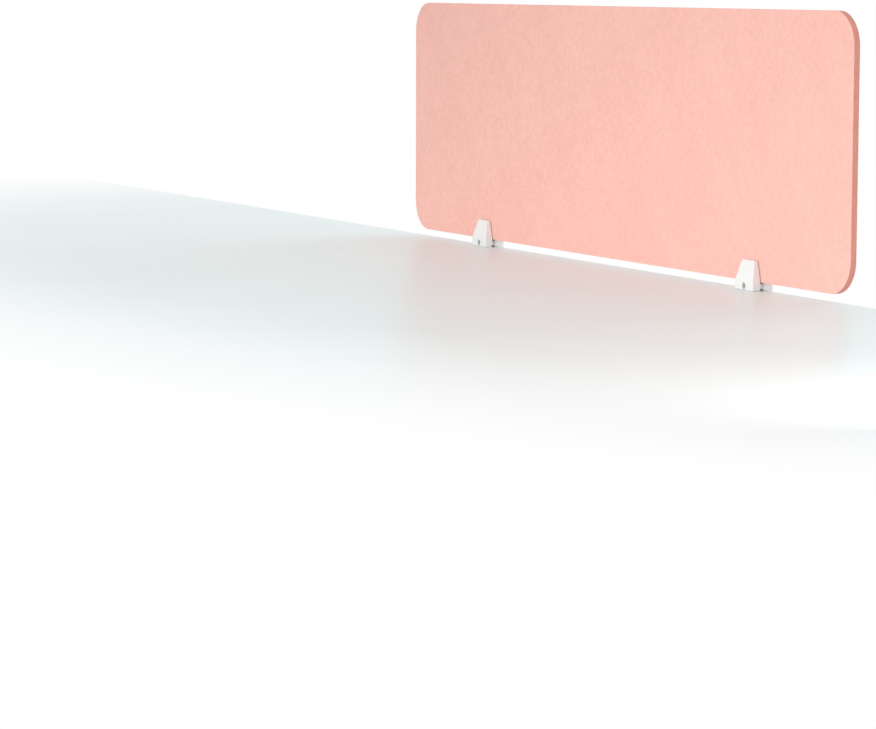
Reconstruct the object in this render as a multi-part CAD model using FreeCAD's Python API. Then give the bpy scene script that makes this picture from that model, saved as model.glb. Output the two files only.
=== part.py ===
import FreeCAD, Part
import math
import os
from FreeCAD import Vector

# Desk privacy panel: one felt board held on the rear edge of a desktop by two identical clamps.
# Frame: millimetres. X runs along the panel, Y away from the user, Z up.
# The origin lies on the desktop's rear top edge (y = 0, z = 0), midway between the clamps.

# Felt board
PANEL_LENGTH = 1400.0
PANEL_HEIGHT = 400.0
PANEL_THICKNESS = 10.0
PANEL_CORNER_RADIUS = 50.0
PANEL_EDGE_EASE = 0.6          # small round on the cut edge of the felt

# Clamps along the board. The board was slid a little to one side before they were tightened.
CLAMP_SPACING = 862.0
PANEL_SHIFT = -8.5             # of the board's middle, from midway between the clamps
CLAMP_SIDES = (("left", -0.5), ("right", 0.5))

# Jaw outline, seen from the front
JAW_WIDTH = 50.0               # straight-sided foot of the jaw
JAW_SHOULDER_Z = 14.0          # where the sides start to lean in
JAW_TOP_WIDTH = 34.0
JAW_TOP_Z = 44.5
JAW_LEAST_FOOT = 1.0           # straight side left on any outline cut short from below
JAW_CORNER_RADIUS = 4.0
JAW_EDGE_RADIUS = 1.2

# Jaw thicknesses, seen from the side
FRONT_JAW_BASE = 12.5
FRONT_JAW_TIP = 5.5
FRONT_JAW_BEND_Z = 15.5        # middle of the bend from the upright foot to the leaning front
FRONT_JAW_BEND_RADIUS = 12.0

# Pads
JAW_PAD_THICKNESS = 1.5
JAW_PAD_INSET = 1.0            # from the jaw's outline
EDGE_PAD_THICKNESS = 1.0       # between the clamp frame and the desktop's edge
EDGE_PAD_INSET = 3.0
DESK_PAD_THICKNESS = 0.8       # under the front jaw
DESK_PAD_INSET = 0.6
SOFT_CLEARANCE = 0.2           # between a soft face and its neighbour on another body

# Clamp frame
SPINE_THICKNESS = 9.0
LEDGE_TOP_Z = 12.3
LEDGE_DESK_GAP = 0.4
ARM_THICKNESS = 9.0
ARM_ROOT_WIDTH = 40.0
ARM_TIP_RADIUS = 12.0
FRAME_BEND_RADIUS = 8.0
FRAME_INNER_RADIUS = 6.0

# Guide tongue between frame and front jaw
TONGUE_SIDE_WALL = 4.0         # jaw left beside the tongue
TONGUE_HEIGHT = 8.0
TONGUE_Z = 6.5                 # centre height
JAW_GUIDE_GAP = 6.7            # between the front jaw's back and the ledge
POCKET_DEPTH = 5.5
POCKET_END_GAP = 0.4
GUIDE_CLEARANCE = 0.15

# Jaw bolt, M5 low head, and its washer
BOLT_RADIUS = 2.5
BOLT_LENGTH = 20.0
BOLT_HEAD_RADIUS = 4.25
BOLT_HEAD_HEIGHT = 3.5
BOLT_HEAD_EASE = 0.4
BOLT_SOCKET_FLATS = 3.0
BOLT_SOCKET_DEPTH = 1.9
BOLT_WALL = 1.9                # jaw wall under the washer
WASHER_OVERHANG = 0.15         # washer beyond the head, all round
WASHER_THICKNESS = 0.8
COUNTERBORE_CLEARANCE = 0.6    # round the washer
BOLT_HOLE_EXTRA = 1.2          # blind hole beyond the bolt's end
RUN_CLEARANCE = 0.06           # radial, on every turning shaft

# Desk clamp screw, M8
DESK_THICKNESS = 18.0
DESK_THICKEST = 40.0
DESK_THINNEST = 10.0
SCREW_SETBACK = 20.0           # in front of the desktop's edge
SCREW_RADIUS = 4.0
SCREW_SHOULDER = 1.0           # step from the thread down to the tip

# Pressure foot
FOOT_RADIUS = 14.0
FOOT_FLANGE = 2.2
FOOT_EASE = 0.8
FOOT_HEIGHT = 5.0
FOOT_HUB_RADIUS = 8.0
FOOT_PAD_INSET = 0.5
FOOT_PAD_THICKNESS = 2.0
FOOT_RECESS_CLEARANCE = 0.9    # round the clip
FOOT_RECESS_DEPTH = 2.0
FOOT_ARM_GAP = 5.0             # left above the arm when the foot is fully down
CLIP_RADIUS = 4.6
CLIP_THICKNESS = 0.7
CLIP_GROOVE_DEPTH = 0.7
CLIP_MOUTH = 3.2
CLIP_LIFT = 0.2

# Knob
KNOB_RADIUS = 17.0
KNOB_HEIGHT = 16.0
KNOB_LOBES = 8
KNOB_FLUTE_RADIUS = 5.0
KNOB_FLUTE_DEPTH = 2.2
KNOB_LOBE_RADIUS = 1.6
KNOB_EDGE_RADIUS = 1.0
KNOB_COLLAR_RADIUS = 9.0
KNOB_COLLAR_HEIGHT = 3.0
KNOB_ARM_GAP = 1.0             # left below the arm when the knob is fully up
KNOB_SOCKET_DEPTH = 13.0
KNOB_CAP_RADIUS = 8.0
KNOB_CAP_THICKNESS = 1.5

# Worked-out places
spine_front_y = EDGE_PAD_THICKNESS
spine_back_y = spine_front_y + SPINE_THICKNESS
panel_back_y = spine_front_y - JAW_PAD_THICKNESS - SOFT_CLEARANCE
panel_front_y = panel_back_y - PANEL_THICKNESS
front_jaw_back_y = panel_front_y - SOFT_CLEARANCE - JAW_PAD_THICKNESS
front_jaw_foot_y = front_jaw_back_y - FRONT_JAW_BASE
ledge_front_y = front_jaw_back_y + JAW_GUIDE_GAP
pocket_end_y = front_jaw_back_y - POCKET_DEPTH
tongue_end_y = pocket_end_y + POCKET_END_GAP
washer_seat_y = pocket_end_y - BOLT_WALL
bolt_seat_y = washer_seat_y - WASHER_THICKNESS
bolt_head_y = bolt_seat_y - BOLT_HEAD_HEIGHT
bolt_end_y = bolt_seat_y + BOLT_LENGTH
panel_bottom_z = LEDGE_TOP_Z + SOFT_CLEARANCE
foot_top_z = -DESK_THICKNESS - FOOT_PAD_THICKNESS
foot_bottom_z = foot_top_z - FOOT_HEIGHT
foot_web_z = foot_top_z - FOOT_RECESS_DEPTH
foot_drop = DESK_THICKEST - DESK_THICKNESS
foot_lift = DESK_THICKNESS - DESK_THINNEST
arm_top_z = foot_bottom_z - foot_drop - FOOT_ARM_GAP
arm_bottom_z = arm_top_z - ARM_THICKNESS
knob_top_z = arm_bottom_z - foot_lift - KNOB_ARM_GAP
knob_bottom_z = knob_top_z - KNOB_HEIGHT
screw_y = -SCREW_SETBACK
tongue_width = JAW_WIDTH - 2.0 * TONGUE_SIDE_WALL
washer_radius = BOLT_HEAD_RADIUS + WASHER_OVERHANG
counterbore_radius = washer_radius + COUNTERBORE_CLEARANCE
screw_tip_radius = SCREW_RADIUS - SCREW_SHOULDER
clip_neck_radius = screw_tip_radius - CLIP_GROOVE_DEPTH
foot_recess_radius = CLIP_RADIUS + FOOT_RECESS_CLEARANCE
foot_pad_radius = FOOT_RADIUS - FOOT_PAD_INSET
OVERCUT = 1.0                  # how far a cutting tool runs past the face it cuts


def prism(points, direction):
    """Solid from a closed outline of straight sides, carried along direction."""
    wire = Part.makePolygon(points + points[:1])
    return Part.Face(wire).extrude(direction)


def block(low, high):
    """Box between two opposite corners."""
    size = high - low
    return Part.makeBox(size.x, size.y, size.z, low)


def rod(radius, start, end):
    """Round bar from start to end."""
    along = end - start
    return Part.makeCylinder(radius, along.Length, start, along)


def ring(outer, inner, start, end):
    """Round tube from start to end."""
    return rod(outer, start, end).cut(rod(inner, start, end))


def hexagon_bar(flats, start, end):
    """Six-sided bar along Y, given by its width across flats."""
    reach = flats / math.sqrt(3.0)
    corners = []
    for step in range(6):
        turn = math.radians(60.0 * step + 30.0)
        corners.append(start + Vector(reach * math.cos(turn), 0, reach * math.sin(turn)))
    return prism(corners, end - start)


def rounded_edges(shape, radius, wanted):
    """Round the edges whose middle passes the test."""
    edges = []
    for edge in shape.Edges:
        middle = edge.valueAt((edge.FirstParameter + edge.LastParameter) / 2.0)
        if wanted(middle):
            edges.append(edge)
    return shape.makeFillet(radius, edges)


def near(value, target):
    return abs(value - target) < 1e-3


def upright_edges(shape, radius, lowest_z):
    """Round the long corners of an outline that is carried along Y, above a height."""
    edges = []
    for edge in shape.Edges:
        start = edge.valueAt(edge.FirstParameter)
        end = edge.valueAt(edge.LastParameter)
        along_y = near(start.x, end.x) and near(start.z, end.z)
        if along_y and start.z > lowest_z:
            edges.append(edge)
    return shape.makeFillet(radius, edges)


def felt_panel():
    """Flat board with four large corner rounds and a small ease round its cut edge."""
    half = PANEL_LENGTH / 2.0
    low = Vector(PANEL_SHIFT - half, panel_front_y, panel_bottom_z)
    high = Vector(PANEL_SHIFT + half, panel_back_y, panel_bottom_z + PANEL_HEIGHT)
    board = upright_edges(block(low, high), PANEL_CORNER_RADIUS, panel_bottom_z - 1.0)

    def on_a_face(point):
        return near(point.y, panel_front_y) or near(point.y, panel_back_y)

    return rounded_edges(board, PANEL_EDGE_EASE, on_a_face)


def jaw_outline(bottom_z, inset):
    """Corner points of a jaw seen from the front: straight foot, then leaning sides."""
    foot = JAW_WIDTH / 2.0 - inset
    tip = JAW_TOP_WIDTH / 2.0 - inset
    top_z = JAW_TOP_Z - inset
    shoulder_z = max(JAW_SHOULDER_Z, bottom_z + JAW_LEAST_FOOT)
    return [(-foot, bottom_z), (foot, bottom_z), (foot, shoulder_z), (tip, top_z),
            (-tip, top_z), (-foot, shoulder_z)]


def jaw_slab(bottom_z, inset, front_y, back_y):
    """Jaw outline carried from front_y to back_y, with its two top corners rounded."""
    points = [Vector(x, front_y, z) for x, z in jaw_outline(bottom_z, inset)]
    slab = prism(points, Vector(0, back_y - front_y, 0))
    return upright_edges(slab, JAW_CORNER_RADIUS, JAW_TOP_Z - inset - 1.0)


def front_jaw_profile():
    """Side outline of the front jaw: an upright foot that bends into a leaning front."""
    fall = FRONT_JAW_BASE - FRONT_JAW_TIP
    lean = math.atan2(fall, JAW_TOP_Z - FRONT_JAW_BEND_Z)
    reach = FRONT_JAW_BEND_RADIUS * math.tan(lean / 2.0)

    def point(y, z):
        return Vector(-JAW_WIDTH, front_jaw_foot_y + y, z)

    def line(start, end):
        return Part.LineSegment(start, end).toShape()

    foot = point(0.0, 0.0)
    bend_low = point(0.0, FRONT_JAW_BEND_Z - reach)
    bend_mid = point(FRONT_JAW_BEND_RADIUS * (1.0 - math.cos(lean / 2.0)),
                     FRONT_JAW_BEND_Z - reach + FRONT_JAW_BEND_RADIUS * math.sin(lean / 2.0))
    bend_high = point(reach * math.sin(lean), FRONT_JAW_BEND_Z + reach * math.cos(lean))
    top_front = point(fall, JAW_TOP_Z)
    top_back = point(FRONT_JAW_BASE, JAW_TOP_Z)
    back_foot = point(FRONT_JAW_BASE, 0.0)
    edges = [line(foot, bend_low), Part.Arc(bend_low, bend_mid, bend_high).toShape(),
             line(bend_high, top_front), line(top_front, top_back),
             line(top_back, back_foot), line(back_foot, foot)]
    return Part.Face(Part.Wire(edges))


def front_rim(shape, lowest_z):
    """Edges round the faces that look to the front, above a height."""
    fronts = []
    for face in shape.Faces:
        if face.normalAt(0.0, 0.0).y < -0.5:
            fronts.append(face)
    every_edge = [edge for face in fronts for edge in face.Edges]
    rim = []
    for edge in every_edge:
        middle = edge.valueAt((edge.FirstParameter + edge.LastParameter) / 2.0)
        uses = len([other for other in every_edge if other.isSame(edge)])
        if uses == 1 and middle.z > lowest_z:
            rim.append(edge)
    return rim


def front_jaw():
    """Wedge jaw in front of the board, with a pocket for the guide tongue and a bolt hole."""
    bottom_z = DESK_PAD_THICKNESS
    slab = jaw_slab(bottom_z, 0.0, front_jaw_foot_y, front_jaw_back_y)
    wedge = slab.common(front_jaw_profile().extrude(Vector(2.0 * JAW_WIDTH, 0, 0)))
    wedge = wedge.makeFillet(JAW_EDGE_RADIUS, front_rim(wedge, bottom_z + 0.1))
    half_pocket = tongue_width / 2.0 + GUIDE_CLEARANCE
    half_height = TONGUE_HEIGHT / 2.0 + GUIDE_CLEARANCE
    pocket = block(Vector(-half_pocket, pocket_end_y, TONGUE_Z - half_height),
                   Vector(half_pocket, front_jaw_back_y + OVERCUT, TONGUE_Z + half_height))
    hole = rod(BOLT_RADIUS + RUN_CLEARANCE, Vector(0, bolt_head_y, TONGUE_Z),
               Vector(0, front_jaw_back_y, TONGUE_Z))
    counterbore = rod(counterbore_radius, Vector(0, front_jaw_foot_y - OVERCUT, TONGUE_Z),
                      Vector(0, washer_seat_y, TONGUE_Z))
    return wedge.cut([pocket, hole, counterbore])


def jaw_pad(front_y):
    """Thin pad that follows the jaw's outline, from just above the board's lower edge."""
    return jaw_slab(panel_bottom_z + JAW_PAD_INSET, JAW_PAD_INSET, front_y,
                    front_y + JAW_PAD_THICKNESS)


def desk_pad():
    """Thin pad under the front jaw, inside its footprint."""
    half = JAW_WIDTH / 2.0 - DESK_PAD_INSET
    return block(Vector(-half, front_jaw_foot_y + DESK_PAD_INSET, 0.0),
                 Vector(half, front_jaw_back_y - DESK_PAD_INSET, DESK_PAD_THICKNESS))


def frame_side_profile():
    """Closed side outline of the clamp frame: rear jaw, ledge, spine and lower arm."""
    corner = 1.0 - math.sqrt(0.5)
    bend = FRAME_BEND_RADIUS
    inner = FRAME_INNER_RADIUS
    arm_end_y = screw_y - ARM_TIP_RADIUS

    def point(y, z):
        return Vector(-JAW_WIDTH / 2.0, y, z)

    def line(start, end):
        return Part.LineSegment(start, end).toShape()

    top_front = point(spine_front_y, JAW_TOP_Z)
    top_back = point(spine_back_y, JAW_TOP_Z)
    bend_top = point(spine_back_y, arm_bottom_z + bend)
    bend_mid = point(spine_back_y - corner * bend, arm_bottom_z + corner * bend)
    bend_end = point(spine_back_y - bend, arm_bottom_z)
    arm_low = point(arm_end_y, arm_bottom_z)
    arm_high = point(arm_end_y, arm_top_z)
    inner_end = point(spine_front_y - inner, arm_top_z)
    inner_mid = point(spine_front_y - corner * inner, arm_top_z + corner * inner)
    inner_top = point(spine_front_y, arm_top_z + inner)
    under_ledge = point(spine_front_y, LEDGE_DESK_GAP)
    ledge_low = point(ledge_front_y, LEDGE_DESK_GAP)
    ledge_high = point(ledge_front_y, LEDGE_TOP_Z)
    ledge_back = point(spine_front_y, LEDGE_TOP_Z)
    edges = [line(top_front, top_back), line(top_back, bend_top),
             Part.Arc(bend_top, bend_mid, bend_end).toShape(),
             line(bend_end, arm_low), line(arm_low, arm_high), line(arm_high, inner_end),
             Part.Arc(inner_end, inner_mid, inner_top).toShape(),
             line(inner_top, under_ledge), line(under_ledge, ledge_low),
             line(ledge_low, ledge_high), line(ledge_high, ledge_back),
             line(ledge_back, top_front)]
    return Part.Face(Part.Wire(edges))


def frame_front_outline():
    """The frame seen from behind: jaw outline above, tapering to the lower arm below."""
    foot = JAW_WIDTH / 2.0
    tip = JAW_TOP_WIDTH / 2.0
    root = ARM_ROOT_WIDTH / 2.0
    deep = screw_y - 2.0 * ARM_TIP_RADIUS
    corners = [(-root, arm_bottom_z), (root, arm_bottom_z), (foot, 0.0),
               (foot, JAW_SHOULDER_Z), (tip, JAW_TOP_Z), (-tip, JAW_TOP_Z),
               (-foot, JAW_SHOULDER_Z), (-foot, 0.0)]
    points = [Vector(x, deep, z) for x, z in corners]
    solid = prism(points, Vector(0, spine_back_y - deep, 0))
    return upright_edges(solid, JAW_CORNER_RADIUS, JAW_TOP_Z - 1.0)


def arm_plan():
    """The lower arm seen from above: straight sides that run tangent into a round end."""
    root = ARM_ROOT_WIDTH / 2.0
    reach = spine_front_y - screw_y
    distance = math.hypot(root, reach)
    turn = math.atan2(root, reach) + math.acos(ARM_TIP_RADIUS / distance)
    tangent_x = ARM_TIP_RADIUS * math.sin(turn)
    tangent_y = screw_y + ARM_TIP_RADIUS * math.cos(turn)
    base_z = arm_bottom_z - OVERCUT
    height = Vector(0, 0, ARM_THICKNESS + FRAME_INNER_RADIUS + OVERCUT)
    right_root = Vector(root, spine_front_y, base_z)
    right_tangent = Vector(tangent_x, tangent_y, base_z)
    nose = Vector(0, screw_y - ARM_TIP_RADIUS, base_z)
    left_tangent = Vector(-tangent_x, tangent_y, base_z)
    left_root = Vector(-root, spine_front_y, base_z)
    edges = [Part.LineSegment(right_root, right_tangent).toShape(),
             Part.Arc(right_tangent, nose, left_tangent).toShape(),
             Part.LineSegment(left_tangent, left_root).toShape(),
             Part.LineSegment(left_root, right_root).toShape()]
    return Part.Face(Part.Wire(edges)).extrude(height)


def clamp_frame():
    """One-piece clamp frame with its guide tongue, bolt hole and screw hole."""
    body = frame_side_profile().extrude(Vector(JAW_WIDTH, 0, 0))
    body = body.common(frame_front_outline())

    def on_back_rim(point):
        across_the_back = near(point.x, 0.0) and not near(point.z, JAW_TOP_Z)
        return near(point.y, spine_back_y) and not across_the_back

    body = rounded_edges(body, JAW_EDGE_RADIUS, on_back_rim)
    surround = block(Vector(-JAW_WIDTH, screw_y - 2.0 * ARM_TIP_RADIUS, arm_bottom_z - OVERCUT),
                     Vector(JAW_WIDTH, spine_front_y, arm_top_z + FRAME_INNER_RADIUS))
    body = body.cut(surround.cut(arm_plan()))
    tongue = block(Vector(-tongue_width / 2.0, tongue_end_y, TONGUE_Z - TONGUE_HEIGHT / 2.0),
                   Vector(tongue_width / 2.0, ledge_front_y + OVERCUT,
                          TONGUE_Z + TONGUE_HEIGHT / 2.0))
    body = body.fuse(tongue)
    bolt_hole = rod(BOLT_RADIUS + RUN_CLEARANCE, Vector(0, tongue_end_y - OVERCUT, TONGUE_Z),
                    Vector(0, bolt_end_y + BOLT_HOLE_EXTRA, TONGUE_Z))
    screw_hole = rod(SCREW_RADIUS + RUN_CLEARANCE, Vector(0, screw_y, arm_bottom_z - OVERCUT),
                     Vector(0, screw_y, arm_top_z + OVERCUT))
    return body.cut([bolt_hole, screw_hole]).removeSplitter()


def edge_pad():
    """Thin pad on the spine, facing the desktop's edge."""
    half = JAW_WIDTH / 2.0 - EDGE_PAD_INSET
    return block(Vector(-half, 0.0, -DESK_THINNEST),
                 Vector(half, spine_front_y, -DESK_PAD_THICKNESS))


def jaw_bolt():
    """Low-head bolt with a hexagon socket, lying along Y."""
    head = rod(BOLT_HEAD_RADIUS, Vector(0, bolt_head_y, TONGUE_Z), Vector(0, bolt_seat_y, TONGUE_Z))
    head = rounded_edges(head, BOLT_HEAD_EASE, lambda point: near(point.y, bolt_head_y))
    shank = rod(BOLT_RADIUS, Vector(0, bolt_seat_y - OVERCUT, TONGUE_Z),
                Vector(0, bolt_end_y, TONGUE_Z))
    socket = hexagon_bar(BOLT_SOCKET_FLATS, Vector(0, bolt_head_y - OVERCUT, TONGUE_Z),
                         Vector(0, bolt_head_y + BOLT_SOCKET_DEPTH, TONGUE_Z))
    return head.fuse(shank).cut(socket)


def bolt_washer():
    """Plain washer between the bolt's head and the counterbore's floor."""
    return ring(washer_radius, BOLT_RADIUS + 2.0 * RUN_CLEARANCE,
                Vector(0, bolt_seat_y, TONGUE_Z), Vector(0, washer_seat_y, TONGUE_Z))


def on_screw(z):
    return Vector(0, screw_y, z)


def pressure_foot():
    """Flanged foot with a hub below and a recess for the clip above."""
    flange = rod(FOOT_RADIUS, on_screw(foot_top_z - FOOT_FLANGE), on_screw(foot_top_z))
    flange = rounded_edges(flange, FOOT_EASE, lambda point: near(point.z, foot_top_z - FOOT_FLANGE))
    hub = rod(FOOT_HUB_RADIUS, on_screw(foot_bottom_z), on_screw(foot_top_z))
    recess = rod(foot_recess_radius, on_screw(foot_web_z), on_screw(foot_top_z + OVERCUT))
    bore = rod(screw_tip_radius + RUN_CLEARANCE, on_screw(foot_bottom_z - OVERCUT),
               on_screw(foot_top_z))
    return flange.fuse(hub).cut([recess, bore])


def foot_pad():
    """Round pad on top of the foot, bearing on the underside of the desktop."""
    return rod(foot_pad_radius, on_screw(foot_top_z), on_screw(foot_top_z + FOOT_PAD_THICKNESS))


def foot_clip():
    """Open retaining clip in the screw tip's groove, above the foot's web."""
    low = foot_web_z + CLIP_LIFT
    inner_radius = clip_neck_radius + RUN_CLEARANCE
    clip = ring(CLIP_RADIUS, inner_radius, on_screw(low), on_screw(low + CLIP_THICKNESS))
    mouth = block(Vector(0.0, screw_y - CLIP_MOUTH / 2.0, low - OVERCUT),
                  Vector(CLIP_RADIUS + OVERCUT, screw_y + CLIP_MOUTH / 2.0, foot_top_z))
    return clip.cut(mouth)


def clamp_screw():
    """M8 clamp screw with a turned tip and clip groove above, seated in the knob below."""
    groove_low = foot_web_z + CLIP_LIFT - RUN_CLEARANCE
    groove_high = foot_web_z + CLIP_LIFT + CLIP_THICKNESS + RUN_CLEARANCE
    tip_top = foot_top_z - CLIP_LIFT
    shank = rod(SCREW_RADIUS, on_screw(knob_top_z - KNOB_SOCKET_DEPTH), on_screw(foot_bottom_z))
    tip = rod(screw_tip_radius, on_screw(foot_bottom_z), on_screw(tip_top))
    groove = ring(screw_tip_radius + OVERCUT, clip_neck_radius, on_screw(groove_low),
                  on_screw(groove_high))
    return shank.fuse(tip).cut(groove)


def knob():
    """Fluted knob with a collar above, a socket for the screw and a recess for its cap."""
    body = rod(KNOB_RADIUS, on_screw(knob_bottom_z), on_screw(knob_top_z - KNOB_COLLAR_HEIGHT))
    flutes = []
    for lobe in range(KNOB_LOBES):
        turn = 2.0 * math.pi * lobe / KNOB_LOBES
        reach = KNOB_RADIUS + KNOB_FLUTE_RADIUS - KNOB_FLUTE_DEPTH
        centre = Vector(reach * math.cos(turn), screw_y + reach * math.sin(turn), 0)
        flutes.append(rod(KNOB_FLUTE_RADIUS, centre + Vector(0, 0, knob_bottom_z - OVERCUT),
                          centre + Vector(0, 0, knob_top_z)))
    body = body.cut(flutes)
    shoulder_z = knob_top_z - KNOB_COLLAR_HEIGHT

    def between_ends(point):
        away = math.hypot(point.x, point.y - screw_y)
        return knob_bottom_z + 0.1 < point.z < shoulder_z - 0.1 and near(away, KNOB_RADIUS)

    def on_end(point):
        return near(point.z, knob_bottom_z) or near(point.z, shoulder_z)

    body = rounded_edges(body, KNOB_LOBE_RADIUS, between_ends)
    body = rounded_edges(body, KNOB_EDGE_RADIUS, on_end)
    collar = rod(KNOB_COLLAR_RADIUS, on_screw(shoulder_z - OVERCUT), on_screw(knob_top_z))
    socket = rod(SCREW_RADIUS + RUN_CLEARANCE, on_screw(knob_top_z - KNOB_SOCKET_DEPTH),
                 on_screw(knob_top_z + OVERCUT))
    cap_recess = rod(KNOB_CAP_RADIUS, on_screw(knob_bottom_z - OVERCUT),
                     on_screw(knob_bottom_z + KNOB_CAP_THICKNESS))
    return body.fuse(collar).cut([socket, cap_recess])


def knob_cap():
    """Press-in cap that closes the underside of the knob."""
    return rod(KNOB_CAP_RADIUS, on_screw(knob_bottom_z),
               on_screw(knob_bottom_z + KNOB_CAP_THICKNESS))


def clamp_pieces():
    """Every piece of one clamp, built about the middle of its width."""
    return {
        "clamp_frame": clamp_frame(),
        "front_jaw": front_jaw(),
        "front_pad": jaw_pad(front_jaw_back_y),
        "rear_pad": jaw_pad(spine_front_y - JAW_PAD_THICKNESS),
        "desk_pad": desk_pad(),
        "edge_pad": edge_pad(),
        "jaw_bolt": jaw_bolt(),
        "bolt_washer": bolt_washer(),
        "pressure_foot": pressure_foot(),
        "foot_pad": foot_pad(),
        "foot_clip": foot_clip(),
        "clamp_screw": clamp_screw(),
        "knob": knob(),
        "knob_cap": knob_cap(),
    }


def main():
    os.makedirs("parts", exist_ok=True)
    felt_panel().exportStep("parts/felt_panel.step")
    pieces = clamp_pieces()
    for side, share in CLAMP_SIDES:
        shift = Vector(share * CLAMP_SPACING, 0, 0)
        for name, shape in pieces.items():
            shape.translated(shift).exportStep(f"parts/{side}_{name}.step")


main()
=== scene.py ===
"""Desk privacy panel: a felt board gripped on a desktop's edge by two screw clamps.

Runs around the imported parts. It makes the felt board, the rubber pads and the clamp screws as
worked-out surfaces, gives every part its finish, and sets up the studio.
"""
import math

import bpy
import numpy as np
from bpy.props import FloatProperty, FloatVectorProperty, IntProperty, PointerProperty
from mathutils import Matrix, Vector


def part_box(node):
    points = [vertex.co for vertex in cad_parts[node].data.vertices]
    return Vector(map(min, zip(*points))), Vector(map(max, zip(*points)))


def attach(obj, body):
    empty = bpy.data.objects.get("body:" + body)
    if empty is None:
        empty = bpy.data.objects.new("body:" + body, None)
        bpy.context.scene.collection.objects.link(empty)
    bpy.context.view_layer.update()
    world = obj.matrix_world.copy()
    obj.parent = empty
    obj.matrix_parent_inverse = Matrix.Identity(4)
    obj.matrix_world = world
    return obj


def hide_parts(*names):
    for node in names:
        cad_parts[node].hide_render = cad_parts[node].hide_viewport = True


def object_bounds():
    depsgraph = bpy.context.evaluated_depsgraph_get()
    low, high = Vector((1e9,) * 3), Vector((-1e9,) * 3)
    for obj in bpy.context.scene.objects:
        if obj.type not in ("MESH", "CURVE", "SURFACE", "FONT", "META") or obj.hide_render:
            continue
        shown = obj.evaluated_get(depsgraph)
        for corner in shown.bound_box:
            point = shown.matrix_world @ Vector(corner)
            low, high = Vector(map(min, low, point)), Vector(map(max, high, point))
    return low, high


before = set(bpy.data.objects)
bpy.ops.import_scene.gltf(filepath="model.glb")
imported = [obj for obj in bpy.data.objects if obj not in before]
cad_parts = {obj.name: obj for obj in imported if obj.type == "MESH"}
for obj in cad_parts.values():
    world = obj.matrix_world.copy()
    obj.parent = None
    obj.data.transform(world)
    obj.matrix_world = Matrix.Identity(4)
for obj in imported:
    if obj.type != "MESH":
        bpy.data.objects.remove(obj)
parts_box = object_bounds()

bl_info = {
    "name": "Desk Privacy Panel",
    "version": (1, 0, 0),
    "blender": (4, 5, 0),
    "location": "View3D > Sidebar > Privacy Panel",
    "description": "Felt desk panel with its clamps, finishes and studio",
    "category": "Object",
}

SIDES = ("left", "right")
MM = 0.001

# Waves of the pressed felt, in radians per metre along X and along Z.
WAVES = ((31.0, 11.0), (-14.0, 23.0), (57.0, 43.0))

# Steel parts with carried-over surfaces: kind, axis of its turning marks, tone and gloss.
STEEL_PARTS = (("jaw_bolt", 1, 0.98, 0.26), ("bolt_washer", 1, 1.0, 0.24),
               ("foot_clip", 2, 0.80, 0.30), ("pressure_foot", 2, 1.08, 0.28))


# ---------------------------------------------------------------- shader values and finishes

class Value:
    """A number that changes over a surface. Sums on it add Math nodes."""

    def __init__(self, finish, socket):
        self.finish = finish
        self.socket = socket

    def _math(self, operation, *values):
        return self.finish.node("ShaderNodeMath", {"operation": operation},
                                dict(enumerate(values)))

    def __add__(self, other):
        return self._math("ADD", self, other)

    def __sub__(self, other):
        return self._math("SUBTRACT", self, other)

    def __rsub__(self, other):
        return self._math("SUBTRACT", other, self)

    def __mul__(self, other):
        return self._math("MULTIPLY", self, other)

    __radd__ = __add__
    __rmul__ = __mul__

    def __abs__(self):
        return self._math("ABSOLUTE", self)

    def ramp(self, low, high):
        """0 at or below low, 1 at or above high, and a smooth S between them."""
        return self.finish.node("ShaderNodeMapRange", {"interpolation_type": "SMOOTHSTEP"},
                                {"Value": self, "From Min": low, "From Max": high})

    def fade(self, low, high):
        """1 at or below low, 0 at or above high, and a smooth S between them."""
        return self.finish.node("ShaderNodeMapRange", {"interpolation_type": "SMOOTHSTEP"},
                                {"Value": self, "From Min": low, "From Max": high,
                                 "To Min": 1.0, "To Max": 0.0})


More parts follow.
